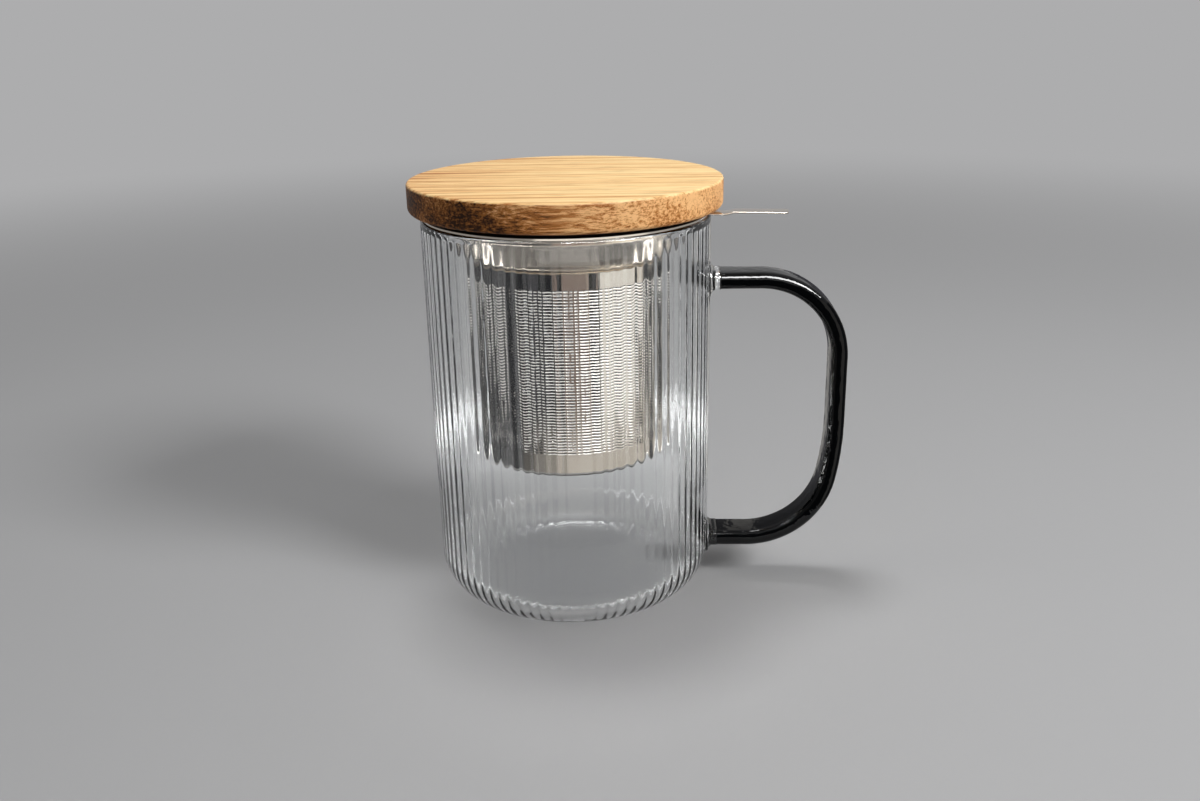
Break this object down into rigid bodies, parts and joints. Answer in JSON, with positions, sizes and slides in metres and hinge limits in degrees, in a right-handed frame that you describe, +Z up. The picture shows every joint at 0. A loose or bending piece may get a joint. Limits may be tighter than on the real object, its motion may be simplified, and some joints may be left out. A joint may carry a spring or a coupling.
{
  "type": "lidded tea mug with infuser",
  "caption": "Tall clear fluted glass mug with a black strap handle, a hanging steel infuser basket and a lift-off wooden lid.",
  "frame": {"origin": "middle of the flat foot of the glass, on the table", "axes": "+Z up along the mug's axis, +X towards the handle, +Y to complete a right-handed frame"},
  "size_m": [0.1298, 0.0918, 0.1279],
  "materials": {
    "clear_glass": "clear borosilicate, fire polished",
    "black_glass": "black glass rod, pressed flat, glossy",
    "polished_steel": "polished stainless sheet",
    "acacia_wood": "oiled acacia",
    "silicone": "black silicone, matt"
  },
  "bodies": {
    "mug": {"mug_glass": "clear_glass", "handle_strap": "black_glass", "upper_weld": "clear_glass", "lower_weld": "clear_glass"},
    "infuser": {"infuser_funnel": "polished_steel", "infuser_wall": "polished_steel", "infuser_base": "polished_steel"},
    "lid": {"lid_disc": "acacia_wood", "lid_seal": "silicone"}
  },
  "joints": [
    {"name": "infuser_lift", "type": "slide", "parent": "mug", "child": "infuser", "axis": [0, 0, 1], "range_m": [0, 0.08]},
    {"name": "lid_lift", "type": "slide", "parent": "infuser", "child": "lid", "axis": [0, 0, 1], "range_m": [0, 0.05]}
  ]
}
